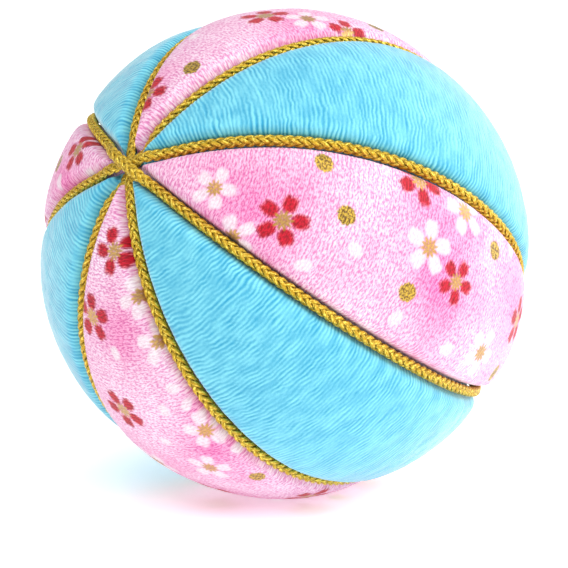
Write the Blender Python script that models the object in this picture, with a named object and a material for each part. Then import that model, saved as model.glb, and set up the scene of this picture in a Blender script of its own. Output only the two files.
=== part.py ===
"""Chirimen flower ball: a stuffed ball of eight cloth gores, blue and pink by turns, with a gold braided
cord laid in each seam. It lies on its side on a small flat spot, with one pole tipped up to the front.

Frame: metres, +Z up, origin at the middle of the flat spot that the ball rests on. The front pole points to
-Y and up. Longitude runs round the pole axis from the meridian that holds the lowest point, towards +X.
"""

import bmesh
import bpy
import math
from mathutils import Matrix, Vector

MM = 0.001

# Driving sizes
CROWN_RADIUS = 40.6 * MM  # ball centre to the crown of a gore at the equator
CORD_RADIUS = 1.1 * MM
PIECE_GAP = 0.3 * MM
POLE_TILT = math.radians(29.3)  # front pole above the horizontal
FLAT_DEPTH = 0.5 * MM  # how far the resting gore is pressed in

# Section of a gore: how far its face drops below the crown
SHOULDER_DROP = 1.1 * MM  # slow fall from the crown to the seam
SHOULDER_POWER = 3.5
GROOVE_DROP = 3.6 * MM  # quick fall into the seam beside the cord
GROOVE_REACH = 2.4 * MM
POLE_LIFT = 1.0 * MM  # how much shallower a groove is where the cords are flat
DIMPLE_DROP = 3.4 * MM  # at each pole, under the crossing of the cords
DIMPLE_REACH = 4.7 * MM
DIMPLE_RAMP = 2.6 * MM

# The cords cross at both poles, one on another, pressed flat there
CORD_SEAT = 38.1 * MM  # ball centre to the middle of a cord in its seam
CROSSING_LOW = 37.8 * MM  # the same, for the lowest cord of a crossing
CROSSING_HALF_HEIGHT = 0.28 * MM
CROSSING_REACH = 3.8 * MM  # from the pole to where the cords part
CROSSING_RAMP = 4.2 * MM  # from there to where each lies in its seam again
CROSSING_PITCH = 2 * CROSSING_HALF_HEIGHT + PIECE_GAP

# Seams in order round the axis: where each crosses the equator, and how far it bows sideways, in mm
SEAMS = (
    # longitude in degrees, bow
    (27.4, -0.5),
    (69.5, 0.0),
    (111.9, 2.0),
    (158.4, 0.1),
    (203.2, 0.0),
    (249.0, 0.0),
    (292.3, 0.0),
    (342.0, 0.0),
)
SEAM_COUNT = len(SEAMS)

# Each cord goes once round the ball, along a seam and back along the one across from it
LOOPS = (
    # name, first seam, layer at the crossings from the bottom up
    ("cord_loop_1", 1, 3),
    ("cord_loop_2", 2, 2),
    ("cord_loop_3", 3, 0),
    ("cord_loop_4", 0, 1),
)

# Mesh steps
GORE_ROWS = 34
GORE_COLUMNS = 14
GORE_CROWDING = 0.38  # rows crowd towards the poles
CORD_STEPS = 44  # for each half loop
CORD_CROWDING = 0.4
CORD_SIDES = 8

BALL_CENTRE = Vector((0, 0, CROWN_RADIUS - FLAT_DEPTH))
BALL_TURN = Matrix(
    (
        (0, 1, 0),
        (-math.sin(POLE_TILT), 0, -math.cos(POLE_TILT)),
        (-math.cos(POLE_TILT), 0, math.sin(POLE_TILT)),
    )
)


def clear_scene():
    for obj in list(bpy.data.objects):
        bpy.data.objects.remove(obj)


def new_collection(name):
    collection = bpy.data.collections.new(name)
    bpy.context.scene.collection.children.link(collection)
    return collection


def material(name, colour, roughness, metallic=0.0):
    made = bpy.data.materials.new(name)
    made.use_nodes = True
    shader = made.node_tree.nodes["Principled BSDF"]
    shader.inputs["Base Color"].default_value = (*colour, 1.0)
    shader.inputs["Roughness"].default_value = roughness
    shader.inputs["Metallic"].default_value = metallic
    made.diffuse_color = (*colour, 1.0)
    return made


def crowded(share, crowding):
    """An angle from 0 to pi at this share of the way, with steps that crowd towards both ends."""
    even = math.pi * share
    return even - crowding * math.sin(2 * even)


def smooth_step(x):
    x = min(1.0, max(0.0, x))
    return x * x * (3 - 2 * x)


def seam_longitude(index, colatitude):
    """Longitude of a seam at this angle from the front pole. A bow moves it one way in front and back behind."""
    degrees, bow = SEAMS[index % SEAM_COUNT]
    turns = 2 * math.pi * (index // SEAM_COUNT)
    sideways = 2 * bow * MM / CROWN_RADIUS * math.cos(colatitude)
    return math.radians(degrees) + sideways + turns


def direction(colatitude, longitude):
    """Unit vector in the ball's own frame, with its z axis out of the front pole."""
    return Vector(
        (
            math.sin(colatitude) * math.cos(longitude),
            math.sin(colatitude) * math.sin(longitude),
            math.cos(colatitude),
        )
    )


def from_pole(colatitude):
    """Distance to the nearer pole, over the ball."""
    return CROWN_RADIUS * min(colatitude, math.pi - colatitude)


def pole_share(colatitude):
    """1 where the cords lie on one another at a pole, falling to 0 where each is in its seam."""
    return 1 - smooth_step((from_pole(colatitude) - CROSSING_REACH) / CROSSING_RAMP)


def face_radius(colatitude, across, half_angle):
    """Ball centre to the cloth. across is 0 on the gore's crown and 1 at its seam."""
    girth = math.sin(colatitude)
    from_seam = CROWN_RADIUS * girth * half_angle * (1 - across)
    shoulder = SHOULDER_DROP * girth * across**SHOULDER_POWER
    # Towards the poles the shoulder gives way to the groove, which keeps the seam at one depth
    groove_drop = GROOVE_DROP + SHOULDER_DROP * (1 - girth) - POLE_LIFT * pole_share(colatitude)
    groove = groove_drop * math.exp(-((from_seam / GROOVE_REACH) ** 2))
    dimple = DIMPLE_DROP * (1 - smooth_step((from_pole(colatitude) - DIMPLE_REACH) / DIMPLE_RAMP))
    return CROWN_RADIUS - max(dimple, shoulder + groove)


def gore_mesh(name, seam):
    """A filled wedge from the pole axis out to its cloth face, between this seam and the next."""
    mesh = bmesh.new()
    middle = (SEAMS[seam][0] + SEAMS[(seam + 1) % SEAM_COUNT][0]) / 2
    if seam == SEAM_COUNT - 1:
        middle += 180
    middle = math.radians(middle)
    width = (seam_longitude(seam + 1, math.pi / 2) - seam_longitude(seam, math.pi / 2)) / 2
    # Each wedge stands this far out from the axis, which leaves the gap between neighbours
    set_out = PIECE_GAP / 2 / math.sin(width) * direction(math.pi / 2, middle)

    def vertex(point):
        return mesh.verts.new(point + set_out)

    pole_radius = face_radius(0, 1, width)
    front = vertex(pole_radius * direction(0, 0))
    back = vertex(pole_radius * direction(math.pi, 0))
    faces, axis = [], []
    for row in range(1, GORE_ROWS):
        colatitude = crowded(row / GORE_ROWS, GORE_CROWDING)
        start = seam_longitude(seam, colatitude)
        end = seam_longitude(seam + 1, colatitude)
        half_angle = (end - start) / 2
        line = []
        for column in range(GORE_COLUMNS + 1):
            across = math.sin(math.pi * (column / GORE_COLUMNS - 0.5))
            longitude = start + half_angle * (1 + across)
            radius = face_radius(colatitude, abs(across), half_angle)
            line.append(vertex(radius * direction(colatitude, longitude)))
        faces.append(line)
        axis.append(vertex(Vector((0, 0, pole_radius * math.cos(colatitude)))))

    for line, following in zip(faces, faces[1:]):
        for column in range(GORE_COLUMNS):
            mesh.faces.new(
                (line[column], following[column], following[column + 1], line[column + 1])
            )
    for line, tip, flip in ((faces[0], front, False), (faces[-1], back, True)):
        for column in range(GORE_COLUMNS):
            corners = (tip, line[column], line[column + 1])
            mesh.faces.new(corners[::-1] if flip else corners)
    for edge, flip in ((0, True), (GORE_COLUMNS, False)):
        for row in range(len(axis) - 1):
            corners = (faces[row][edge], faces[row + 1][edge], axis[row + 1], axis[row])
            mesh.faces.new(corners[::-1] if flip else corners)
        for row, tip, turn in ((0, front, flip), (-1, back, not flip)):
            corners = (tip, faces[row][edge], axis[row])
            mesh.faces.new(corners[::-1] if turn else corners)
    bmesh.ops.triangulate(mesh, faces=mesh.faces)
    made = bpy.data.meshes.new(name)
    mesh.to_mesh(made)
    mesh.free()
    return made


def loop_centres(first_seam, layer):
    """Points on the middle of a cord that goes once round the ball, each with its share of the crossing."""
    crossing = CROSSING_LOW + layer * CROSSING_PITCH
    points = []
    for seam, reverse in ((first_seam, False), (first_seam + SEAM_COUNT // 2, True)):
        for step in range(CORD_STEPS):
            share = 1 - step / CORD_STEPS if reverse else step / CORD_STEPS
            colatitude = crowded(share, CORD_CROWDING)
            near = pole_share(colatitude)
            radius = CORD_SEAT + (crossing - CORD_SEAT) * near
            longitude = seam_longitude(seam, colatitude)
            points.append((radius * direction(colatitude, longitude), near))
    return points


def cord_mesh(name, first_seam, layer):
    """A closed loop of oval sections, round in the seams and flat where the cords cross."""
    mesh = bmesh.new()
    centres = loop_centres(first_seam, layer)
    rings = []
    for index, (centre, near) in enumerate(centres):
        ahead = centres[(index + 1) % len(centres)][0]
        along = (ahead - centres[index - 1][0]).normalized()
        side = along.cross(centre).normalized()
        out = side.cross(along)
        half_height = CORD_RADIUS + (CROSSING_HALF_HEIGHT - CORD_RADIUS) * near
        ring = []
        for corner in range(CORD_SIDES):
            turn = 2 * math.pi * (corner + 0.5) / CORD_SIDES
            offset = CORD_RADIUS * math.cos(turn) * side + half_height * math.sin(turn) * out
            ring.append(mesh.verts.new(centre + offset))
        rings.append(ring)
    for ring, following in zip(rings, rings[1:] + rings[:1]):
        for corner in range(CORD_SIDES):
            after = (corner + 1) % CORD_SIDES
            mesh.faces.new((ring[corner], ring[after], following[after], following[corner]))
    bmesh.ops.recalc_face_normals(mesh, faces=mesh.faces)
    made = bpy.data.meshes.new(name)
    mesh.to_mesh(made)
    mesh.free()
    return made


def place(name, mesh, collection, finish, ball):
    """One sub-part: an object on the ball's empty, shaded smooth but for its sharp edges."""
    obj = bpy.data.objects.new(name, mesh)
    collection.objects.link(obj)
    obj.parent = ball
    mesh.materials.append(finish)
    mesh.shade_smooth()
    mesh.set_sharp_from_angle(angle=math.radians(50))
    return obj


def floor_cutter(collection):
    """A block under the floor, which presses the flat spot into the gore that meets it."""
    bpy.ops.mesh.primitive_cube_add(size=CROWN_RADIUS, location=(0, 0, -CROWN_RADIUS / 2))
    cutter = bpy.context.object
    cutter.name = "floor_cutter"
    for holder in list(cutter.users_collection):
        holder.objects.unlink(cutter)
    collection.objects.link(cutter)
    cutter.hide_render = True
    cutter.display_type = "WIRE"
    return cutter


def build():
    clear_scene()
    parts = new_collection("chirimen_flower_ball")
    cutters = new_collection("cutters")
    blue = material("blue_crepe", (0.20, 0.66, 0.88), 0.75)
    pink = material("pink_print_crepe", (0.90, 0.42, 0.62), 0.75)
    gold = material("gold_cord", (0.78, 0.52, 0.10), 0.38, 0.8)

    ball = bpy.data.objects.new("ball_frame", None)
    parts.objects.link(ball)
    ball.matrix_world = Matrix.Translation(BALL_CENTRE) @ BALL_TURN.to_4x4()

    for seam in range(SEAM_COUNT):
        colour, finish = ("blue", blue) if seam % 2 == 0 else ("pink", pink)
        name = f"gore_{colour}_{seam // 2 + 1}"
        gore = place(name, gore_mesh(name, seam), parts, finish, ball)
        if seam == SEAM_COUNT - 1:
            flat = gore.modifiers.new("flat_spot", "BOOLEAN")
            flat.object = floor_cutter(cutters)
            flat.operation = "DIFFERENCE"
            flat.solver = "EXACT"

    for name, first_seam, layer in LOOPS:
        place(name, cord_mesh(name, first_seam, layer), parts, gold, ball)


build()
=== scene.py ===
# %% [markdown]
# # A chirimen flower ball
#
# The ball is eight narrow gores of silk crepe round a firm filling, plain blue and printed pink by turns.
# A gold braided cord lies in every seam and crosses the others at both poles. The solids that come with
# the part give the size and the place of each piece. This lesson dresses them: cloth with its ridges, a
# charted flower print, and a braid made strand by strand.

import math

import bpy
import numpy as np
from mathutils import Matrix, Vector


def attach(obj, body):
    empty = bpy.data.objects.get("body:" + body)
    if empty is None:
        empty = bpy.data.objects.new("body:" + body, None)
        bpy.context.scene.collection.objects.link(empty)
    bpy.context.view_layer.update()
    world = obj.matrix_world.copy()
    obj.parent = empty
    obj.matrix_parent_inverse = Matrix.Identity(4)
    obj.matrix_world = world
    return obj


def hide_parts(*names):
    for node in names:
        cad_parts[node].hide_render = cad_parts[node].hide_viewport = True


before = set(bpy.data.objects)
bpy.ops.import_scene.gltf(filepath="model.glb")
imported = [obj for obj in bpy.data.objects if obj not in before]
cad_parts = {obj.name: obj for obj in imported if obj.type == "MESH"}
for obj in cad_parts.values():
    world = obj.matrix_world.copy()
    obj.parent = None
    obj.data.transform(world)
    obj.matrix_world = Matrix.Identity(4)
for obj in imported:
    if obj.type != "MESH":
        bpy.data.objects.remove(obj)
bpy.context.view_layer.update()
MM = 0.001

# %% [markdown]
# ## Where the seams run
#
# A maker sews the gores at their long edges, so every seam runs from one pole to the other. Here each
# seam is one row of a table: the longitude where it crosses the equator, and how far it bows sideways.
# The pole axis is tipped, because the ball lies on its side. Everything is worked out in the ball's own
# frame and turned once at the end, which keeps the sums simple.

# %% Sizes of the ball
CROWN = 40.6  # mm from the ball's centre to the crown of a gore
FLAT_DEPTH = 0.5
TILT = math.radians(29.3)
CENTRE = np.array([0.0, 0.0, CROWN - FLAT_DEPTH])
TURN = np.array(
    [
        [0, 1, 0],
        [-math.sin(TILT), 0, -math.cos(TILT)],
        [-math.cos(TILT), 0, math.sin(TILT)],
    ]
)
SEAMS = (
    # longitude in degrees, bow in mm
    (27.4, -0.5),
    (69.5, 0.0),
    (111.9, 2.0),
    (158.4, 0.1),
    (203.2, 0.0),
    (249.0, 0.0),
    (292.3, 0.0),
    (342.0, 0.0),
)


def seam_longitude(index, colatitude):
    degrees, bow = SEAMS[index % 8]
    around = math.radians(degrees + 360 * (index // 8))
    return around + 2 * bow / CROWN * np.cos(colatitude)


def on_ball(radius, colatitude, longitude):
    """Points in mm in the ball's own frame, with z out of the front pole."""
    ring = radius * np.sin(colatitude)
    return np.stack(
        [ring * np.cos(longitude), ring * np.sin(longitude), radius * np.cos(colatitude)], -1
    )


def to_row(points):
    """Ball frame in mm to the part's frame in metres."""
    return (points @ TURN.T + CENTRE) * MM


print("seams cross the equator at", [s[0] for s in SEAMS])

# %% [markdown]
# ## Soft randomness
#
# Cloth is never even, but a lesson has to come out the same each time. A small table of random numbers
# with a fixed seed, read with smooth steps between its entries, gives a wavy field. Its grain can be
# longer one way than the other, which is what crepe needs.


# %% A wavy field over the cloth
def smooth(x):
    x = np.clip(x, 0, 1)
    return x * x * (3 - 2 * x)


def wavy(across, along, grain_across, grain_along, seed):
    """Values from -1 to 1 that change over about one grain, in mm."""
    table = np.random.default_rng(seed).uniform(-1, 1, (256, 256))
    x, y = across / grain_across + 61.3, along / grain_along + 17.7
    col, row = np.floor(x).astype(int), np.floor(y).astype(int)
    u, v = smooth(x - col), smooth(y - row)
    near = table[row % 256, col % 256] * (1 - u) + table[row % 256, (col + 1) % 256] * u
    far = table[(row + 1) % 256, col % 256] * (1 - u) + table[(row + 1) % 256, (col + 1) % 256] * u
    return near * (1 - v) + far * v


print("one value of the field:", round(float(wavy(1.0, 2.0, 3.0, 4.0, 5)), 3))

# %% [markdown]
# ## The form of a gore
#
# A filled gore is crowned: it rises quickly beside the seam, where the cord sinks in, and then runs
# nearly level over the middle. Two falls added together give that section. At the poles all gores dip
# under the crossing of the cords, so a third fall takes over there, and the seams are shallower, because
# cords that lie on one another sink in less.

# %% Section of a gore
SHOULDER, SHOULDER_POWER = 1.2, 3.4
GROOVE, GROOVE_REACH = 3.0, 1.28
POLE_LIFT = 1.3  # how much shallower the groove is where the cords are flat
DIMPLE, DIMPLE_REACH, DIMPLE_RAMP = 2.9, 2.3, 2.0
CROSSING_REACH, CROSSING_RAMP = 3.6, 4.2


def pole_share(colatitude):
    """1 where the cords lie on one another at a pole, falling to 0 where each is in its seam."""
    from_pole = CROWN * np.minimum(colatitude, math.pi - colatitude)
    return 1 - smooth((from_pole - CROSSING_REACH) / CROSSING_RAMP)


def gore_radius(colatitude, across, half_angle):
    """across is 0 on the crown and 1 at the seam."""
    girth = np.sin(colatitude)
    from_seam = CROWN * girth * half_angle * (1 - across)
    shoulder = SHOULDER * girth * across**SHOULDER_POWER
    deep = GROOVE + SHOULDER * (1 - girth) - POLE_LIFT * pole_share(colatitude)
    groove = deep * np.exp(-((from_seam / GROOVE_REACH) ** 2))
    from_pole = CROWN * np.minimum(colatitude, math.pi - colatitude)
    dimple = DIMPLE * (1 - smooth((from_pole - DIMPLE_REACH) / DIMPLE_RAMP))
    return CROWN - np.maximum(dimple, shoulder + groove)


print("cloth at the seam:", round(float(gore_radius(math.pi / 2, 1.0, 0.39)), 2), "mm out")

# %% [markdown]
# ## Crepe ridges
#
# Chirimen is woven with hard-twisted weft that shrinks when it is washed, and pulls the cloth into fine
# ridges. A wave with a fixed pitch would look like corduroy. So the wave is pushed back and forth by the
# wavy field, which makes its crests wander, fork and fade. It is real relief on a fine mesh, so light
# catches it from any side.

# %% Ridges in the cloth
RIDGE_PITCH = 0.70
WANDER = (
    # mm across, mm along, share of a pitch
    (15, 11, 0.7),
    (2.6, 3.4, 0.45),
    (0.9, 1.3, 0.26),
)


def crepe_ridges(across, along, seed):
    """Height of the crepe from about -1 to 1."""
    shift = along / RIDGE_PITCH
    for turn, (wide, long, share) in enumerate(WANDER):
        shift = shift + share * wavy(across, along, wide, long, seed + turn)
    strength = 0.55 + 0.45 * wavy(across, along, 1.9, 1.1, seed + 3)
    pebble = 0.4 * wavy(across, along, 1.8, 0.8, seed + 4)
    return np.sin(2 * math.pi * shift) * strength + pebble


print("ridge pitch", RIDGE_PITCH, "mm")

# %% [markdown]
# ## The print, charted
#
# The pink crepe carries small five-petalled blossoms in crimson and white, single petals and gold dots,
# over soft clouds of stronger pink. Each printed gore has its own chart, as a maker would see it after
# cutting: how far a motif lies from the gore's middle line, how far it is from the front pole, how it is
# turned, and how large it is beside the others of its kind.

# %% Charts of the print
CRIMSON, WHITE, DOT, PETAL = 1, 2, 3, 4
REACH = {CRIMSON: 4.6, WHITE: 4.6, DOT: 1.75, PETAL: 1.7}  # mm from a motif's middle to its edge
CHARTS = {
    "gore_pink_1": (
        # kind, mm across, mm along, turn in degrees, size
        (WHITE, -1.3, 18.0, 10, 0.84),
        (WHITE, -7.9, 23.9, 40, 0.88),
        (CRIMSON, -2.9, 29.9, 4, 1.0),
        (DOT, 8.1, 33.7, 0, 1.0),
        (PETAL, -8.3, 35.7, 60, 1.0),
        (DOT, 1.4, 38.8, 0, 1.0),
        (PETAL, -3.0, 42.0, 120, 1.0),
        (CRIMSON, 12.3, 49.9, 16, 1.0),
        (DOT, -5.3, 52.8, 0, 1.0),
        (WHITE, 2.6, 53.6, 64, 1.02),
        (PETAL, -9.7, 53.2, 20, 1.0),
        (WHITE, 11.3, 59.6, 50, 1.0),
        (CRIMSON, 0.0, 60.8, 16, 0.88),
        (PETAL, -9.8, 65.6, 75, 1.0),
        (DOT, 8.4, 68.2, 0, 1.0),
        (PETAL, 10.8, 74.3, 30, 1.0),
        (WHITE, -6.8, 74.6, 12, 1.0),
        (CRIMSON, 2.0, 85.0, 52, 1.0),
        (DOT, -7.2, 86.0, 0, 1.0),
        (PETAL, 8.6, 90.5, 140, 1.0),
        (WHITE, -1.0, 97.0, 25, 1.0),
        (DOT, 5.6, 102.5, 0, 1.0),
        (CRIMSON, -1.6, 109.0, 0, 1.0),
        (PETAL, 1.4, 117.0, 80, 1.0),
    ),
    "gore_pink_2": (
        (CRIMSON, 2.6, 12.5, 20, 0.9),
        (DOT, -2.4, 19.1, 0, 1.0),
        (PETAL, 5.0, 27.5, 45, 0.9),
        (CRIMSON, -1.4, 37.6, 40, 1.0),
        (CRIMSON, -12.6, 47.0, 20, 0.9),
        (WHITE, -7.2, 42.0, 30, 0.95),
        (DOT, 8.0, 41.0, 0, 1.0),
        (PETAL, 6.4, 48.0, 100, 1.0),
        (CRIMSON, 10.4, 55.0, 60, 1.0),
        (WHITE, -0.5, 55.5, 34, 1.0),
        (DOT, -9.5, 56.0, 0, 1.0),
        (CRIMSON, -8.0, 66.0, 22, 1.0),
        (PETAL, 4.8, 64.5, 10, 1.0),
        (WHITE, 7.5, 72.5, 48, 1.0),
        (DOT, -0.8, 75.0, 0, 1.0),
        (CRIMSON, 1.5, 83.5, 12, 1.0),
        (WHITE, -8.2, 83.0, 55, 1.0),
        (PETAL, 9.2, 84.0, 70, 1.0),
        (DOT, 5.2, 93.0, 0, 1.0),
        (WHITE, -1.8, 96.0, 30, 1.0),
        (PETAL, -5.0, 104.5, 130, 1.0),
        (CRIMSON, 1.8, 107.0, 64, 1.0),
        (DOT, -0.6, 115.5, 0, 1.0),
    ),
    "gore_pink_3": (
        (PETAL, 2.5, 9.4, 60, 0.8),
        (CRIMSON, -1.4, 14.6, 20, 0.9),
        (PETAL, 3.9, 19.0, 15, 1.0),
        (DOT, 0.4, 23.0, 0, 1.0),
        (WHITE, -4.6, 30.0, 20, 1.0),
        (CRIMSON, 5.2, 34.0, 50, 1.0),
        (DOT, -8.6, 40.5, 0, 1.0),
        (PETAL, -1.4, 42.5, 95, 1.0),
        (WHITE, 6.8, 47.0, 5, 1.0),
        (CRIMSON, -5.4, 52.0, 28, 1.0),
        (DOT, 2.4, 57.5, 0, 1.0),
        (PETAL, 11.0, 58.0, 40, 1.0),
        (WHITE, -1.6, 66.0, 44, 1.0),
        (CRIMSON, 9.6, 69.5, 14, 1.0),
        (DOT, -9.8, 64.0, 0, 1.0),
        (PETAL, -8.4, 74.0, 110, 1.0),
        (WHITE, 3.2, 80.0, 62, 1.0),
        (CRIMSON, -5.8, 85.5, 8, 1.0),
        (DOT, 8.0, 88.5, 0, 1.0),
        (PETAL, 1.6, 93.0, 25, 1.0),
        (WHITE, -3.0, 101.0, 18, 1.0),
        (CRIMSON, 3.2, 109.5, 42, 1.0),
        (DOT, -1.2, 116.0, 0, 1.0),
    ),
    "gore_pink_4": (
        (CRIMSON, 1.9, 14.2, 36, 0.95),
        (WHITE, 6.6, 21.8, 24, 0.85),
        (CRIMSON, -4.0, 25.4, -14, 0.95),
        (WHITE, 9.2, 29.6, 50, 0.9),
        (PETAL, 0.1, 30.8, 70, 0.9),
        (PETAL, 9.4, 37.8, 20, 0.9),
        (CRIMSON, -3.8, 42.4, 34, 0.95),
        (PETAL, 6.0, 41.4, 85, 0.9),
        (PETAL, 10.6, 41.2, 130, 0.9),
        (WHITE, 11.3, 47.0, 58, 0.95),
        (PETAL, 2.0, 48.4, 15, 0.9),
        (WHITE, 6.2, 55.8, 10, 0.9),
        (PETAL, 13.6, 53.2, 60, 0.8),
        (DOT, 11.9, 61.2, 0, 0.9),
        (WHITE, -7.4, 57.5, 24, 1.0),
        (CRIMSON, -3.2, 68.4, 46, 0.95),
        (DOT, -11.2, 66.5, 0, 1.0),
        (CRIMSON, 9.6, 76.6, 6, 0.9),
        (CRIMSON, -7.8, 79.0, 26, 1.0),
        (PETAL, 1.6, 78.0, 120, 1.0),
        (DOT, 8.4, 85.0, 0, 1.0),
        (WHITE, -0.2, 88.0, 52, 1.0),
        (CRIMSON, 6.6, 95.5, 10, 1.0),
        (DOT, -5.6, 97.0, 0, 1.0),
        (WHITE, 0.8, 104.5, 40, 1.0),
        (PETAL, -1.0, 113.0, 60, 1.0),
    ),
}
CLOUDS = {
    # mm across, mm along, mm reach, strength
    "gore_pink_1": (
        (-3, 25, 9.5, 1.0),
        (-1, 14, 5, 0.4),
        (5, 56, 10.5, 1.0),
        (-4, 60, 6, 0.6),
        (3, 80, 9, 0.5),
        (-2, 102, 8, 0.9),
    ),
    "gore_pink_2": (
        (2, 14, 5, 0.7),
        (-9, 40, 7, 0.8),
        (7, 57, 8, 0.8),
        (-6, 76, 8, 0.9),
        (2, 100, 9, 0.8),
    ),
    "gore_pink_3": (
        (4, 17, 6, 1.0),
        (-4, 33, 7, 0.7),
        (5, 50, 8, 0.9),
        (-5, 70, 8, 0.8),
        (4, 92, 9, 0.9),
    ),
    "gore_pink_4": (
        (2, 27, 5, 1.0),
        (12, 43, 3, 1.0),
        (9, 52, 7, 1.0),
        (-7, 55, 6, 0.5),
        (-3, 70, 8, 0.9),
        (4, 92, 9, 0.8),
    ),
}
print({name: len(rows) for name, rows in CHARTS.items()}, "motifs")

# %% [markdown]
# ## From numbers to a mesh
#
# Cloth and braid are both rows of points joined by faces, so the same few helpers serve them. The first
# makes an object from points and faces. The second keeps a number at every point, for a finish to read.
# The third says which point and which face each corner of a mesh belongs to, because a print and a map
# are laid corner by corner. With numpy all the points of a piece are worked out at once, which is quick
# even for a fine mesh.


# %% Make a piece
def piece(name, points, faces):
    mesh = bpy.data.meshes.new(name)
    mesh.from_pydata(points.tolist(), [], [f for group in faces for f in group.tolist()])
    mesh.shade_smooth()
    made = bpy.data.objects.new(name, mesh)
    bpy.context.scene.collection.objects.link(made)
    return made


def store(mesh, name, values):
    mesh.attributes.new(name, "FLOAT", "POINT").data.foreach_set("value", np.ravel(values))


def store_places(mesh, name, values, domain="POINT"):
    mesh.attributes.new(name, "FLOAT_VECTOR", domain).data.foreach_set("vector", np.ravel(values))


def corners_of(mesh):
    """The point and the face of each corner, and the number of sides of each face."""
    point = np.empty(len(mesh.loops), int)
    mesh.loops.foreach_get("vertex_index", point)
    sides = np.empty(len(mesh.polygons), int)
    mesh.polygons.foreach_get("loop_total", sides)
    return point, np.repeat(np.arange(len(sides)), sides), sides


print("a piece is made by", piece.__name__)

# %% [markdown]
# ## From chart to cloth
#
# A shader can't look up a list of motifs, so the mesh does it. Every facet of cloth finds its nearest
# motif, and its corners keep their place as seen from that motif's middle. Later one short shader draws a
# blossom round nought, and it appears at every place in the chart.

# %% Lay the chart on a mesh
MOTIF_MARGIN = 1.15  # a motif claims the cloth out to this many times its reach


def lay_print(mesh, name, place, cloth_faces):
    """Stores each corner's place about its nearest motif, with the motif's kind as z."""
    point, face_of, sides = corners_of(mesh)
    middle = np.stack([np.bincount(face_of, place[point, k]) / sides for k in (0, 1)], -1)
    best, motif = np.full(len(sides), MOTIF_MARGIN), np.full(len(sides), -1)
    for index, (kind, x, y, _, size) in enumerate(CHARTS[name]):
        share = np.hypot(middle[:, 0] - x, middle[:, 1] - y) / REACH[kind] / size
        nearer = (share < best) & (np.arange(len(sides)) < cloth_faces)
        best[nearer], motif[nearer] = share[nearer], index
    stored = np.zeros((len(point), 3))
    for index, (kind, x, y, turn, size) in enumerate(CHARTS[name]):
        mine = motif[face_of] == index
        dx, dy = (place[point[mine], 0] - x) / size, (place[point[mine], 1] - y) / size
        c, s = math.cos(math.radians(turn)), math.sin(math.radians(turn))
        stored[mine] = np.stack([c * dx + s * dy, c * dy - s * dx, np.full(len(dx), kind)], -1)
    store_places(mesh, "motif", stored, "CORNER")


PALEST, FULLEST = 0.17, 0.62  # the pink between the clouds, and what a cloud adds at its middle


def blush(name, place):
    """How strong the pink is at each point, from 0 to 1."""
    x, y = place[:, 0], place[:, 1]
    cloud = PALEST + 0.18 * wavy(x, y, 6, 6, 71) + 0.08 * wavy(x, y, 2.2, 2.2, 72)
    for cx, cy, reach, strength in CLOUDS[name]:
        cloud = cloud + FULLEST * strength * np.exp(-((x - cx) ** 2 + (y - cy) ** 2) / reach**2)
    return np.clip(cloud, 0, 1)


print("clouds of pink:", {name: len(rows) for name, rows in CLOUDS.items()})

# %% [markdown]
# ## The cloth of a gore
#
# The cloth face is a grid that runs from pole to pole and from seam to seam, with its columns closer
# together beside the seams, where it bends most. The ridges stand highest near a seam, because the
# stitches gather the crepe there, and they come to nothing in the seam itself. A slow unevenness of the
# filling lies under them.

# %% Cloth face
ROWS, COLUMNS = ((760, 54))
EVEN, BUNCHED = 0.72, 0.28  # shares of even columns, and of columns bunched at the seams
RELIEF = {"blue": 0.054, "pink": 0.042}  # mm
GATHER, GATHER_REACH = 0.8, 2.8  # how much higher the ridges are beside a seam, and how far from it in mm
SLACK = 0.14  # mm of slow unevenness
SETTLE = 0.9  # mm from the seam to where the ridges reach their full height


def gore_cloth(colour, seam):
    """Points in the ball's frame, share across, mm across, mm along, and height of the ridges."""
    colatitude = math.pi * (np.arange(ROWS)[:, None] + 0.5) / ROWS
    t = np.linspace(-1, 1, COLUMNS + 1)[None, :]
    across = EVEN * t + BUNCHED * np.sin(math.pi / 2 * t)
    start, end = seam_longitude(seam, colatitude), seam_longitude(seam + 1, colatitude)
    half = (end - start) / 2
    x = across * half * CROWN * np.sin(colatitude)
    y = colatitude * CROWN + 0 * x
    from_seam = half * CROWN * np.sin(colatitude) * (1 - np.abs(across))
    ridges = crepe_ridges(x, y, 100 + 10 * seam) * (1 + GATHER * np.exp(-((from_seam / GATHER_REACH) ** 2)))
    slow = SLACK * wavy(x, y, 11, 14, 500 + seam)
    radius = gore_radius(colatitude, np.abs(across), half)
    radius = radius + (RELIEF[colour] * ridges + slow) * smooth(from_seam / SETTLE)
    return on_ball(radius, colatitude, start + half * (1 + across)), across, x, y, ridges


print("points in a cloth face:", ROWS * (COLUMNS + 1))

# %% [markdown]
# ## A filled wedge
#
# Two walls close the cloth towards the ball's axis, so that each gore is a filled wedge like the solid it
# takes the place of. Its points are the cloth's grid, then a spine along the axis, then one tip at each
# pole. A wedge is built point by point because no primitive has its form.

# %% Core and faces of a gore
SEAM_GAP = 0.06  # mm of air in a seam


def gore_core(seam):
    """The spine, the two tips, and how far the gore is set out from the axis."""
    start, end = (float(seam_longitude(seam + side, math.pi / 2)) for side in (0, 1))
    middle, half = (start + end) / 2, (end - start) / 2
    pole = float(gore_radius(0.0, 1.0, half))
    height = pole * np.cos(math.pi * (np.arange(ROWS) + 0.5) / ROWS)
    spine = np.stack([0 * height, 0 * height, height], -1)
    tips = np.array([[0, 0, pole], [0, 0, -pole]])
    set_out = SEAM_GAP / 2 / math.sin(half) * np.array([math.cos(middle), math.sin(middle), 0])
    return np.concatenate([spine, tips]), set_out


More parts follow.
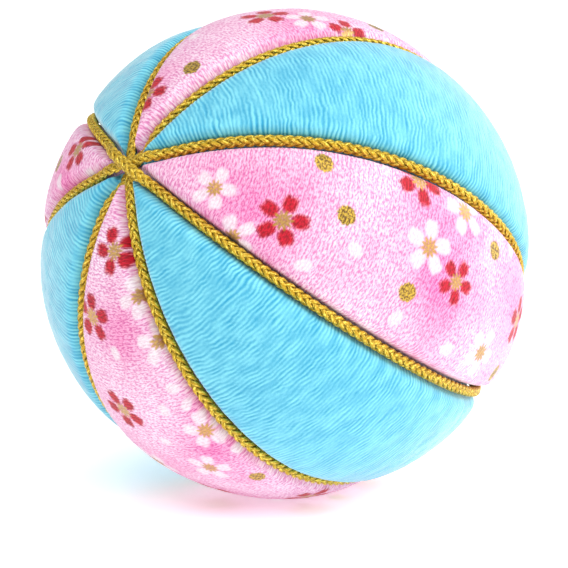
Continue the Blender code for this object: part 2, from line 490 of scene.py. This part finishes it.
def gore_faces(rows, wide):
    """The cloth's faces, the walls left and right, and the ends at both poles."""
    grid = np.arange(rows * wide).reshape(rows, wide)
    spine = rows * wide + np.arange(rows)
    front, back = rows * wide + rows, rows * wide + rows + 1
    cloth = np.stack([grid[:-1, :-1], grid[1:, :-1], grid[1:, 1:], grid[:-1, 1:]], -1).reshape(-1, 4)
    left = np.stack([grid[:-1, 0], spine[:-1], spine[1:], grid[1:, 0]], -1)
    right = np.stack([grid[:-1, -1], grid[1:, -1], spine[1:], spine[:-1]], -1)
    ends = [
        np.stack([np.full(wide - 1, front), grid[0, :-1], grid[0, 1:]], -1),
        np.stack([np.full(wide - 1, back), grid[-1, 1:], grid[-1, :-1]], -1),
        np.array([[front, spine[0], grid[0, 0]], [front, grid[0, -1], spine[0]]]),
        np.array([[back, grid[-1, 0], spine[-1]], [back, spine[-1], grid[-1, -1]]]),
    ]
    return [cloth, left, right, *ends]


print("faces in a gore:", sum(len(group) for group in gore_faces(ROWS, COLUMNS + 1)))

# %% [markdown]
# ## A flat map of a gore
#
# A finish can later be baked to a picture, and for that each gore needs a flat map. A gore is four times
# as long as it is wide, so it is cut at the equator and its halves lie side by side in the square. The
# walls, which nobody sees, get a thin strip at the edge.

# %% Map of a gore
MAP_MARGIN = 0.02  # share of a half's width left free on each side
WALL_STRIP = (0.004, 0.012)  # from the spine to the seam
MAP_LOW, MAP_HIGH = 0.005, 0.985


def map_gore(mesh, across, along, cloth_points, cloth_faces):
    """along runs from 0 at the front pole to 1 at the back pole."""
    point, face_of, sides = corners_of(mesh)
    u = np.zeros(len(along))
    u[:cloth_points] = MAP_MARGIN + (1 - 2 * MAP_MARGIN) * (across / 2 + 0.5)
    nearest = np.full(len(sides), 2.0)
    np.minimum.at(nearest, face_of, along[point])
    back_half = (nearest >= 0.5 - 1e-9).astype(int)[face_of]
    wall = (face_of >= cloth_faces) & (sides[face_of] == 4)
    corner_u = np.where(wall, np.where(point < cloth_points, WALL_STRIP[1], WALL_STRIP[0]), u[point])
    corner_v = MAP_LOW + (MAP_HIGH - MAP_LOW) * (along[point] * 2 - back_half)
    layer = mesh.uv_layers.new(name="OFBake")
    layer.data.foreach_set("uv", np.stack([(back_half + corner_u) / 2, corner_v], -1).ravel())


print("walls have", round(WALL_STRIP[1] - WALL_STRIP[0], 3), "of the map's width")

# %% [markdown]
# ## All eight gores
#
# Each gore is built in the ball's frame and turned into place. Points that would fall below the floor are
# set on it, which presses the flat spot into the gore that the ball rests on. The places on the cloth and
# the height of the ridges go with the mesh, because both finishes are made of them.

# %% Build the gores
RIDGE_TOP = 1.4  # the height that counts as a full crest


def make_gore(name, seam):
    colour = name.split("_")[1]
    cloth, across, x, y, ridges = gore_cloth(colour, seam)
    core, set_out = gore_core(seam)
    points = to_row(np.concatenate([cloth.reshape(-1, 3), core]) + set_out)
    points[:, 2] = np.maximum(points[:, 2], 0)
    faces = gore_faces(ROWS, COLUMNS + 1)
    made = piece(name + "_cloth", points, faces)

    on_cloth = ROWS * (COLUMNS + 1)
    place = np.zeros((len(points), 3))
    place[:on_cloth, :2] = np.stack([x, y], -1).reshape(-1, 2)
    place[on_cloth:-2, 1] = y[:, 0]
    place[-1, 1] = math.pi * CROWN
    store_places(made.data, "cloth", place)
    ridge = np.zeros(len(points))
    ridge[:on_cloth] = ridges.ravel() / RIDGE_TOP
    store(made.data, "ridge", ridge)
    map_gore(made.data, (across + 0 * y).ravel(), place[:, 1] / (math.pi * CROWN), on_cloth, len(faces[0]))
    if colour == "pink":
        store(made.data, "blush", blush(name, place))
        lay_print(made.data, name, place, len(faces[0]))
    return made


GORES = [(f"gore_{'pink' if seam % 2 else 'blue'}_{seam // 2 + 1}", seam) for seam in range(8)]
gores = {name: make_gore(name, seam) for name, seam in GORES}
print("faces in a gore:", len(gores["gore_blue_1"].data.polygons))

# %% [markdown]
# ## Maths for finishes
#
# A finish is a tree of nodes, and most of its nodes are sums. The small class below wraps a node's
# output, so that an expression in Python adds the Math nodes that work it out. All other nodes come from
# one method.


# %% Sums on sockets
class Wire:
    """The output of a node, for use in expressions."""

    def __init__(self, finish, socket):
        self.finish, self.socket = finish, socket

    def sum(self, operation, *values):
        return self.finish.node("ShaderNodeMath", {"operation": operation}, dict(enumerate(values)))

    def __add__(self, other):
        return self.sum("ADD", self, other)

    __radd__ = __add__

    def __mul__(self, other):
        return self.sum("MULTIPLY", self, other)

    __rmul__ = __mul__

    def __sub__(self, other):
        return self.sum("SUBTRACT", self, other)

    def __rsub__(self, other):
        return self.sum("SUBTRACT", other, self)

    def __truediv__(self, other):
        return self.sum("DIVIDE", self, other)

    def __pow__(self, other):
        return self.sum("POWER", self, other)


class Finish:
    """One material and the nodes behind it."""

    def __init__(self, name):
        self.material = bpy.data.materials.new(name)
        self.material.use_nodes = True
        self.tree = self.material.node_tree
        self.shader = self.tree.nodes["Principled BSDF"]

    def node(self, kind, settings=None, sockets=None, output=0):
        made = self.tree.nodes.new(kind)
        for key, value in (settings or {}).items():
            setattr(made, key, value)
        for key, value in (sockets or {}).items():
            self.put(made.inputs[key], value)
        return Wire(self, made.outputs[output])

    def put(self, socket, value):
        if isinstance(value, Wire):
            self.tree.links.new(value.socket, socket)
        elif value is not None:
            socket.default_value = value

    def attribute(self, name, output="Fac"):
        return self.node("ShaderNodeAttribute", {"attribute_name": name}, output=output)

    def parts(self, vector):
        split = self.node("ShaderNodeSeparateXYZ", None, {0: vector})
        return [Wire(self, s) for s in split.socket.node.outputs]

    def noise(self, place, scale, detail=2.0, roughness=0.5, output="Fac"):
        values = {"Vector": place, "Scale": scale, "Detail": detail, "Roughness": roughness}
        return self.node("ShaderNodeTexNoise", None, values, output)

    def stretch(self, vector, by):
        return self.node("ShaderNodeVectorMath", {"operation": "MULTIPLY"}, {0: vector, 1: by})

    def ease(self, value, low, high, start=0.0, end=1.0):
        """From start to end as the value goes from low to high, smoothly."""
        values = {0: value, 1: low, 2: high, 3: start, 4: end}
        return self.node("ShaderNodeMapRange", {"interpolation_type": "SMOOTHSTEP"}, values)

    def mix(self, share, first, second):
        values = {0: share, 6: first, 7: second}
        return self.node("ShaderNodeMix", {"data_type": "RGBA"}, values, output=2)

    def finish(self, **sockets):
        for key, value in sockets.items():
            self.put(self.shader.inputs[key.replace("_", " ")], value)
        return self.material


def dye(red, green, blue):
    """A colour as seen on a screen, from 0 to 255, in the linear form that a shader wants."""
    return (*(((c / 255 + 0.055) / 1.055) ** 2.4 if c > 10 else c / 3294 for c in (red, green, blue)), 1.0)


print("sky blue is", [round(c, 3) for c in dye(110, 215, 248)])

# %% [markdown]
# ## Plain crepe
#
# The blue cloth is one colour, but it doesn't look it: the crests of the ridges catch the light and the
# valleys keep a deeper blue. Part of that is real shade from the relief. The rest is painted: the ridge
# height, with a random speckle, mixes a paler blue onto the crests as painted highlight and a deeper blue
# into the valleys as painted shade. A fine bump adds the threads between the ridges, which are too small
# for the mesh.

# %% Blue finish
def crepe_grain(f, depth):
    """A bump from the threads of the cloth, which is too fine for the mesh."""
    cloth = f.attribute("cloth", "Vector")
    fine = f.noise(f.stretch(cloth, (0.9, 2.6, 1.0)), 1.25, 2.0, 0.6)
    thread = f.noise(f.stretch(cloth, (2.4, 1.5, 1.0)), 1.7, 1.0)
    values = {"Strength": 0.5, "Distance": depth * MM, "Height": fine + 0.5 * thread}
    return f.node("ShaderNodeBump", None, values, "Normal")


f = Finish("plain_crepe_cloth")
ridge = f.attribute("ridge")
speckle = f.noise(f.stretch(f.attribute("cloth", "Vector"), (1.2, 2.4, 1.0)), 1.3, 3.0)
broad = f.noise(f.attribute("cloth", "Vector"), 0.07, 2.0)
# Painted highlight and shade: the ridge height, with a random speckle, mixes the paler blue onto the crests
# and the deeper blue into the valleys.
height = f.ease(ridge + 0.9 * (speckle - 0.5), -1.0, 1.0)
deep = f.mix(broad, dye(24, 144, 190), dye(52, 166, 200))
light = f.mix(broad, dye(116, 212, 230), dye(140, 222, 234))
plain_crepe = f.finish(
    Base_Color=f.mix(height, deep, light),
    Roughness=0.62,
    Normal=crepe_grain(f, 0.14),
    Sheen_Weight=0.8,
    Sheen_Roughness=0.4,
    Specular_IOR_Level=0.35,
)
print("finish:", plain_crepe.name)

# %% [markdown]
# ## Printed crepe
#
# One blossom is drawn round nought. The angle round the middle is folded five times, so five petals cost
# no more than one. A petal is a blunt oval on the folded axis, and noise in its edge gives the unevenness
# of print on ridged cloth. The dots are gold powder, which a speckle breaks up so that it glitters. The
# stamens in a blossom's heart are the same powder laid thinly, so some of the pink comes through.

# %% Printed finish
f = Finish("printed_crepe_cloth")
cloth = f.attribute("cloth", "Vector")
ridge = f.attribute("ridge")
x, y, kind = f.parts(f.attribute("motif", "Vector"))
rough_edge = f.noise(f.stretch(cloth, (1.0, 1.7, 1.0)), 1.5, 3.0, 0.6)
slow_edge = f.noise(cloth, 0.45, 1.0)
fine = f.noise(f.stretch(cloth, (1.1, 2.6, 1.0)), 1.5, 1.0, 0.6)


def is_kind(wanted):
    return f.node("ShaderNodeMath", {"operation": "COMPARE"}, {0: kind, 1: float(wanted), 2: 0.4})


out = (x * x + y * y) ** 0.5
angle = f.node("ShaderNodeMath", {"operation": "ARCTAN2"}, {0: y, 1: x})


def folded(times):
    """The angle from the nearest of so many axes."""
    part = 2 * math.pi / times
    turned = f.node("ShaderNodeMath", {"operation": "FLOORED_MODULO"}, {0: angle + part / 2, 1: part})
    return turned - part / 2


def cosine(value):
    return f.node("ShaderNodeMath", {"operation": "COSINE"}, {0: value})


def sine(value):
    return f.node("ShaderNodeMath", {"operation": "SINE"}, {0: value})


def oval(along, aside, middle, half_long, half_wide, low=0.25, high=1.6):
    """1 inside a blunt oval on an axis and 0 outside it, with a soft uneven edge."""
    a, b = (along - middle) / half_long, aside / half_wide
    blunt = (a * a) ** 1.3 + (b * b) ** 1.3
    uneven = 0.8 * (rough_edge - 0.5) + 0.9 * (fine - 0.5) + 0.7 * (slow_edge - 0.5)
    return f.ease(blunt + uneven, low, high, 1.0, 0.0)


fifth = folded(5)
ahead, aside = out * cosine(fifth), out * sine(fifth)
# A shallow notch at the petal's tip
petals = oval(ahead + 0.18 * f.ease(aside * aside, 0.0, 0.35, 1.0, 0.0), aside, 2.8, 1.5, 1.24)
tenth = folded(10)
rays = f.ease(out * sine(tenth) * out * sine(tenth), 0.01, 0.08, 0.8, 0.0) * f.ease(out, 1.3, 2.3, 0.9, 0.0)
heart = f.ease(out + 1.2 * (rough_edge - 0.5), 0.5, 1.9, 1.0, 0.0)
stamens = f.ease(rays + heart + 1.6 * (rough_edge - 0.5), 0.25, 1.15)
blossom = is_kind(CRIMSON) + is_kind(WHITE)
single = oval(x, y, 0.0, 1.35, 1.0)
dot = f.ease(out + 0.9 * (rough_edge - 0.5), 1.35, 1.7, 1.0, 0.0)

red = petals * is_kind(CRIMSON)
white = petals * is_kind(WHITE) + single * is_kind(PETAL)
glitter = f.noise(f.stretch(cloth, (1.6, 1.9, 1.0)), 1.5, 2.0, 0.7)
broken = f.ease(glitter, 0.3, 0.5, 0.45, 0.9)
gold = stamens * blossom * broken + dot * is_kind(DOT) * 0.95

pinkness = f.attribute("blush")
# Painted highlight and shade, mixed with a real random grain: the ridge height, with the cloth's fine grain,
# makes the pink ground and both kinds of petal paler on the crests and deeper in the valleys.
valley = f.mix(pinkness, dye(218, 142, 190), dye(204, 58, 138))
crest = f.mix(pinkness, dye(244, 230, 240), dye(240, 134, 190))
shade = f.ease(ridge + 8.0 * (fine - 0.5), -1.5, 1.3)
ground = f.mix(shade, valley, crest)
printed = f.mix(white * 0.86, ground, f.mix(shade, dye(222, 198, 210), dye(240, 230, 234)))
printed = f.mix(red, printed, f.mix(shade, dye(140, 0, 24), dye(204, 6, 42)))
# The speckle in the dots and stamens is partly the powder's uneven laying and partly painted glints, bright
# gold specks against darker gold.
gold_shade = f.mix(f.ease(glitter, 0.40, 0.60), dye(104, 76, 4), dye(214, 178, 48))
gold_shade = f.mix(blossom * 0.7, gold_shade, f.mix(glitter, dye(150, 104, 34), dye(226, 180, 92)))
printed_crepe = f.finish(
    Base_Color=f.mix(gold, printed, gold_shade),
    Metallic=gold * 0.6,
    Roughness=0.62 - 0.27 * gold,
    Normal=crepe_grain(f, 0.13),
    Sheen_Weight=0.2,
    Sheen_Roughness=0.4,
    Specular_IOR_Level=0.35,
)
print("finish:", printed_crepe.name, "with", len(f.tree.nodes), "nodes")

# %% [markdown]
# ## The route of a cord
#
# Each cord goes once round the ball: down one seam and back up the seam across from it. Near a pole it
# climbs over the cords below it. The route is sampled finely, its corners are rounded off by averaging
# each point with its neighbours, and then it is measured, so that the braid can be laid out in true
# millimetres.

# %% Cord route
SEAT = 38.85  # mm from the ball's centre to the middle of a cord in its seam
CROSSING_LOW, CROSSING_PITCH = 38.2, 0.84  # the lowest cord at a pole, and from each cord to the next
ROUTE_STEPS, ROUNDING = 1500, 14  # points from pole to pole, and how many on each side round a corner off
LOOPS = (
    # name, first seam, layer at the crossings
    ("cord_loop_1", 1, 3),
    ("cord_loop_2", 2, 2),
    ("cord_loop_3", 3, 0),
    ("cord_loop_4", 0, 1),
)


def rounded(values, reach):
    """A closed row of values, each averaged with its neighbours."""
    weight = np.hanning(2 * reach + 3)[1:-1]
    weight = weight / weight.sum()
    shifts = range(-reach, reach + 1)
    return sum(w * np.roll(values, k, 0) for k, w in zip(shifts, weight))


def cord_route(first_seam, layer):
    """Points along the middle of the cord, and at each how far it is part of the crossing."""
    colatitude = np.linspace(0, math.pi, ROUTE_STEPS + 1)[:-1]
    there = seam_longitude(first_seam, colatitude)
    back = seam_longitude(first_seam + 4, math.pi - colatitude)
    near, points = [], []
    for angle_down, around in ((colatitude, there), (math.pi - colatitude, back)):
        share = pole_share(angle_down)
        radius = SEAT + (CROSSING_LOW + layer * CROSSING_PITCH - SEAT) * share
        points.append(on_ball(radius, angle_down, around))
        near.append(share)
    return rounded(np.concatenate(points), ROUNDING), np.concatenate(near)


def distances(points):
    """How far along a closed route each point lies, and the whole length as the last."""
    step = np.linalg.norm(np.roll(points, -1, 0) - points, axis=1)
    return np.concatenate([[0], np.cumsum(step)])


def even_steps(points, values, count):
    """The same closed route with its points evenly apart, and its length."""
    reached = distances(points)
    wanted = np.linspace(0, reached[-1], count, endpoint=False)
    closed = np.concatenate([points, points[:1]])
    even = np.stack([np.interp(wanted, reached, closed[:, k]) for k in range(3)], -1)
    return even, np.interp(wanted, reached, np.append(values, values[0])), reached[-1]


for name, first_seam, layer in LOOPS:
    route, _ = cord_route(first_seam, layer)
    print(name, round(distances(route)[-1], 1), "mm long")

# %% [markdown]
# ## One strand of the braid
#
# The cord is a round braid of eight strands. Four wind one way and four the other, and each goes over two
# and under two. Over the cord's surface that rule depends only on the place round the cord, which is why
# such a braid shows two columns of slanting stitches side by side. A strand's section is a flattened
# oval, laid at right angles to the way the strand runs.

# %% Section of a strand
BRAID_PITCH = 6.2  # mm for one full turn of a strand
STRAND_RING, STRAND_WAVE = 0.54, 0.18  # mm from the cord's middle, and how far a strand rises and dips
STRAND_WIDE, STRAND_THICK = 0.39, 0.24  # half sizes of a strand
STEPS_A_TURN, STRAND_SIDES = ((16, 6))
CORNER = 2 * math.pi * np.arange(STRAND_SIDES) / STRAND_SIDES


def strand_sections(strand, way, turned, slant):
    """At every step, how far each corner is sideways, up and ahead of the cord's middle, and the wave."""
    angle = way * turned + strand * math.pi / 2
    wave = way * np.cos(way * 2 * turned + strand * math.pi + math.pi / 4)
    outward = STRAND_THICK * np.sin(CORNER)[None, :] + (STRAND_RING + STRAND_WAVE * wave)[:, None]
    width = STRAND_WIDE * np.cos(CORNER)[None, :]
    around, forward = width * math.cos(slant), -way * width * math.sin(slant)
    c, s = np.cos(angle)[:, None], np.sin(angle)[:, None]
    return outward * c - around * s, outward * s + around * c, forward, wave


print("a strand is", round(2 * STRAND_WIDE, 2), "mm wide")

# %% [markdown]
# ## Faces and map of the strands
#
# Every strand is a closed tube, so its last ring of points joins its first, and one table of faces serves
# all eight. For the map the cord is cut in four lengths that lie side by side, and in each length the
# strands are narrow columns.

# %% Tubes laid flat
LENGTHS = 4
COLUMN_MARGIN = 0.03  # share of a strand's column left free on each side


def tube_faces(count):
    ring = np.arange(count)[:, None] * STRAND_SIDES
    next_ring = (np.arange(count)[:, None] + 1) % count * STRAND_SIDES
    k, after = np.arange(STRAND_SIDES)[None, :], (np.arange(STRAND_SIDES)[None, :] + 1) % STRAND_SIDES
    one = np.stack([ring + k, ring + after, next_ring + after, next_ring + k], -1).reshape(-1, 4)
    return [one + count * STRAND_SIDES * strand for strand in range(8)]


def map_cord(mesh, count):
    """Corners are in the faces' order: this side, next side, next side one ring on, this side one ring on."""
    step = np.tile(np.repeat(np.arange(count), STRAND_SIDES), 8)[:, None]
    strand = np.repeat(np.arange(8), count * STRAND_SIDES)[:, None]
    side = np.tile(np.arange(STRAND_SIDES), count * 8)[:, None]
    length = step * LENGTHS // count
    share = (side + np.array([0, 1, 1, 0])) / STRAND_SIDES
    u = (strand + share * (1 - 2 * COLUMN_MARGIN) + COLUMN_MARGIN) / 8
    v = (step + np.array([0, 0, 1, 1])) / count * LENGTHS - length
    layer = mesh.uv_layers.new(name="OFBake")
    layer.data.foreach_set("uv", np.stack([(length + u) / LENGTHS, v], -1).ravel())


print("a map has", LENGTHS * 8, "columns")

# %% [markdown]
# ## Four braided cords
#
# Each strand is swept along the cord's route as its own tube. Where the cords cross, the whole braid is
# pressed flat: its height shrinks and its width grows a little. A number of turns that comes out whole
# lets the braid close on itself without a step.

# %% Braid the cords
FLAT_HIGH, FLAT_WIDE = 0.42, 1.1  # shares of its height and width where a cord is pressed flat
TOP_LIFT = 0.6  # how much of the lift comes from a strand's own round top
STRAND_APART = 7.0  # keeps the grain of one strand from running on in the next


def unit(vectors):
    return vectors / np.linalg.norm(vectors, axis=1)[:, None]


def make_cord(name, first_seam, layer):
    route, near = cord_route(first_seam, layer)
    turns = round(distances(route)[-1] / BRAID_PITCH)
    count = turns * STEPS_A_TURN
    middle, near, length = even_steps(route, near, count)
    ahead = unit(np.roll(middle, -1, 0) - np.roll(middle, 1, 0))
    side = unit(np.cross(ahead, middle))
    up = np.cross(side, ahead)
    wide, high = 1 + (FLAT_WIDE - 1) * near, 1 + (FLAT_HIGH - 1) * near
    turned = 2 * math.pi * turns * np.arange(count) / count
    slant = math.atan2(2 * math.pi * STRAND_RING, length / turns)
    points, lift, thread = [], [], []
    along = np.repeat(length * np.arange(count) / count, STRAND_SIDES)
    for strand in range(8):
        x, y, forward, wave = strand_sections(strand % 4, 1 if strand < 4 else -1, turned, slant)
        place = (
            middle[:, None, :]
            + (x * wide[:, None])[..., None] * side[:, None, :]
            + (y * high[:, None])[..., None] * up[:, None, :]
            + forward[..., None] * ahead[:, None, :]
        )
        points.append(place.reshape(-1, 3))
        # The lift says how high each point of a strand stands; the gold finish paints the low places dark
        # brown as shade.
        lift.append(np.repeat(wave, STRAND_SIDES) + TOP_LIFT * np.tile(np.sin(CORNER), count))
        thread.append(np.stack([along, np.tile(CORNER, count) + STRAND_APART * strand, 0 * along], -1))
    made = piece(name + "_braid", to_row(np.concatenate(points)), tube_faces(count))
    store(made.data, "lift", np.concatenate(lift))
    store_places(made.data, "thread", np.concatenate(thread))
    map_cord(made.data, count)
    return made, length


cords = {}
for name, first_seam, layer in LOOPS:
    cords[name], cord_length = make_cord(name, first_seam, layer)
    print(name, "is", round(cord_length, 1), "mm long,", len(cords[name].data.polygons), "faces")

# %% [markdown]
# ## Gold thread
#
# The braid is of lame: a thin gold film wound on a core. Film shines like metal and has deep shade
# between its turns. The shine comes from Metallic and a low Roughness, with bright specks painted on as
# glints. Where a strand dips under another, and on its underside, the colour is painted dark brown as
# shade. Fine lines along the strand stand for the wound film.

# %% Gold finish
f = Finish("gold_braid")
lift = f.attribute("lift")
thread = f.attribute("thread", "Vector")
film = f.noise(f.stretch(thread, (1.6, 2.6, 1.0)), 1.6, 2.0, 0.6)
painted_glint = f.noise(f.stretch(thread, (2.2, 1.3, 1.0)), 1.1, 1.0)
raised = f.ease(lift + 1.6 * (film - 0.5), -0.9, 1.3)
# Painted shade, mixed with the film's random lines: the low places of a strand, where it dips under another
# and on its underside, are coloured dark brown.
tone = f.mix(raised, dye(66, 44, 0), dye(200, 158, 24))
# Painted glints: bright yellow specks on the gold.
tone = f.mix(f.ease(painted_glint, 0.48, 0.66), tone, dye(255, 228, 96))
bump = f.node("ShaderNodeBump", None, {"Strength": 0.8, "Distance": 0.10 * MM, "Height": film}, "Normal")
gold_braid = f.finish(
    Base_Color=tone,
    Metallic=0.5,
    Roughness=0.42 - 0.14 * raised,
    Normal=bump,
)
print("finish:", gold_braid.name)

# %% [markdown]
# ## Hand each piece over
#
# Every dressed piece takes the place of one solid and rides on the part's only body. The gores are filled
# cloth, stuffed hard.

# %% Pieces in place of solids
for name, seam in GORES:
    gore = gores[name]
    printed_gore = seam % 2 == 1
    gore.data.materials.append(printed_crepe if printed_gore else plain_crepe)
    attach(gore, "root")
    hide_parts(name)
for name, braid in cords.items():
    braid.data.materials.append(gold_braid)
    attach(braid, "root")
    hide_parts(name)
total = sum(2 * len(o.data.polygons) for o in (*gores.values(), *cords.values()))
print("about", total, "triangles")

# %% [markdown]
# ## Floor, light and camera
#
# The ball is shown on white, in high soft light that is stronger from the right. A bright world fills the
# shadows, and large lamps model the gores and give the braid something to mirror. The floor glows a
# little, as white paper lit from behind does, so it stays white beside the ball.

# %% Floor and light
FLOOR_WIDE = 6.0  # metres
FLOOR_GLOW, WORLD_GLOW = 0.36, 0.54
bpy.ops.mesh.primitive_plane_add(size=FLOOR_WIDE)
floor = bpy.context.object
floor.name = "floor"
f = Finish("floor_white")
paper = f.noise(f.node("ShaderNodeTexCoord", output="Object"), 3.0, 2.0)
floor.data.materials.append(
    f.finish(
        Base_Color=f.mix(paper, dye(250, 250, 250), dye(254, 254, 254)),
        Roughness=0.9,
        Emission_Color=(1.0, 1.0, 1.0, 1.0),
        Emission_Strength=FLOOR_GLOW,
    )
)

world = bpy.data.worlds.new("soft_white")
bpy.context.scene.world = world
world.use_nodes = True
world.node_tree.nodes["Background"].inputs["Color"].default_value = (1, 1, 1, 1)
world.node_tree.nodes["Background"].inputs["Strength"].default_value = WORLD_GLOW
MIDDLE = Vector(CENTRE * MM)
LAMPS = (
    # name, azimuth, elevation, metres away, metres wide, watts
    ("key", 108, 34, 0.9, 0.5, 4.6),
    ("fill", 12, 62, 1.1, 0.8, 5.6),
    ("rim", 165, 20, 0.9, 0.6, 3.0),
)


def seen_from(azimuth, elevation):
    a, e = math.radians(azimuth), math.radians(elevation)
    return Vector((math.sin(a) * math.cos(e), -math.cos(a) * math.cos(e), math.sin(e)))


for name, azimuth, elevation, away, wide, watts in LAMPS:
    lamp = bpy.data.lights.new(name, "AREA")
    lamp.shape, lamp.size, lamp.energy = "DISK", wide, watts
    stand = bpy.data.objects.new(name, lamp)
    bpy.context.scene.collection.objects.link(stand)
    stand.location = MIDDLE + seen_from(azimuth, elevation) * away
    stand.rotation_euler = (-seen_from(azimuth, elevation)).to_track_quat("-Z", "Y").to_euler()
print(len(LAMPS), "lamps")

# %% [markdown]
# ## Where it is seen from
#
# The camera stands a little above the table and looks at the ball with the front pole to its upper left.
# A long lens keeps the ball round: seen from close by, its near gores would swell.

# %% Camera
AZIMUTH, ELEVATION = 45.8, 12.0
DISTANCE, LENS = 0.48, 182.8  # metres, and mm
AIM_BELOW, AIM_LEFT = 5.06, 0.17  # mm from the ball's centre to the middle of the picture
view_back = seen_from(AZIMUTH, ELEVATION)
view_right = Vector((math.cos(math.radians(AZIMUTH)), math.sin(math.radians(AZIMUTH)), 0))
view_up = view_back.cross(view_right)
camera = bpy.data.objects.new("camera", bpy.data.cameras.new("camera"))
bpy.context.scene.collection.objects.link(camera)
camera.data.lens = LENS
camera.location = MIDDLE + view_back * DISTANCE
target = MIDDLE - (view_up * AIM_BELOW + view_right * AIM_LEFT) * MM
camera.rotation_euler = (target - camera.location).to_track_quat("-Z", "Y").to_euler()
bpy.context.scene.camera = camera
bpy.context.scene.view_settings.view_transform = "Standard"
print("camera", [round(c, 3) for c in camera.location])
